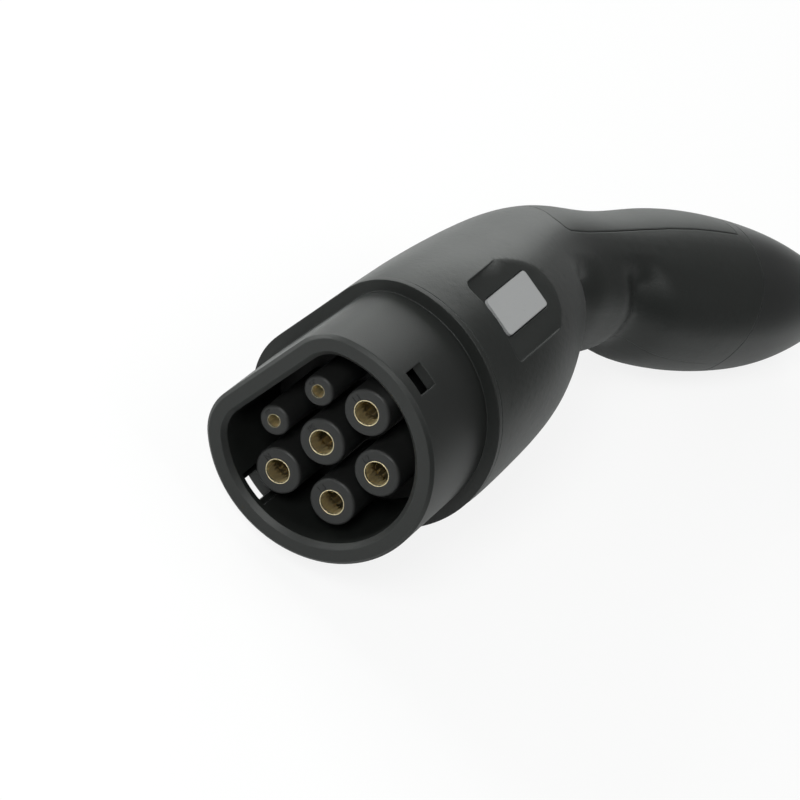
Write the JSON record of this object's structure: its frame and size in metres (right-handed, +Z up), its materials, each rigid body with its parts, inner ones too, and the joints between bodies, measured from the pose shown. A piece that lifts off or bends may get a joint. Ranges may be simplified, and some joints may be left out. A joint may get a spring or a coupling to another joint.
{
  "type": "ev charging cable connector",
  "caption": "Hand-held vehicle connector of a charging cable: D shaped sleeve with pin towers, bulbous housing and a drooping grip with an inlaid cover.",
  "frame": {"origin": "middle of the bounding box's footprint, on the surface that the connector lies on", "axes": "+X horizontally the way the connector is pushed into the inlet, +Z up as it lies on its left side, +Y completes the frame, towards the underside of the grip"},
  "size_m": [0.2574, 0.0974, 0.0711],
  "materials": {
    "sleeve_plastic": "satin moulded",
    "carrier_plastic": "satin moulded",
    "housing_plastic": "fine grained",
    "cover_plastic": "fine grained",
    "cap_plastic": "fine grained",
    "label_plastic": "smooth",
    "contact_metal": "turned and plated",
    "spring_metal": "stamped and plated",
    "steel": "zinc plated",
    "rubber_seal": "smooth",
    "clamp_plastic": "moulded"
  },
  "bodies": {
    "root": {"front_shell": "sleeve_plastic", "contact_carrier": "carrier_plastic", "contact_retainer": "clamp_plastic", "front_gasket": "rubber_seal", "housing_right": "housing_plastic", "housing_left": "housing_plastic", "housing_screws": "steel", "grip_cover": "cover_plastic", "rear_cap": "cap_plastic", "label_plate": "label_plastic", "cable_grommet": "rubber_seal", "clamp_lower": "clamp_plastic", "clamp_upper": "clamp_plastic", "clamp_screws": "steel", "l1_socket": "contact_metal", "l1_spring": "spring_metal", "l2_socket": "contact_metal", "l2_spring": "spring_metal", "l3_socket": "contact_metal", "l3_spring": "spring_metal", "n_socket": "contact_metal", "n_spring": "spring_metal", "pe_socket": "contact_metal", "pe_spring": "spring_metal", "cp_socket": "contact_metal", "cp_ring": "steel", "pp_socket": "contact_metal", "pp_ring": "steel"}
  },
  "joints": []
}
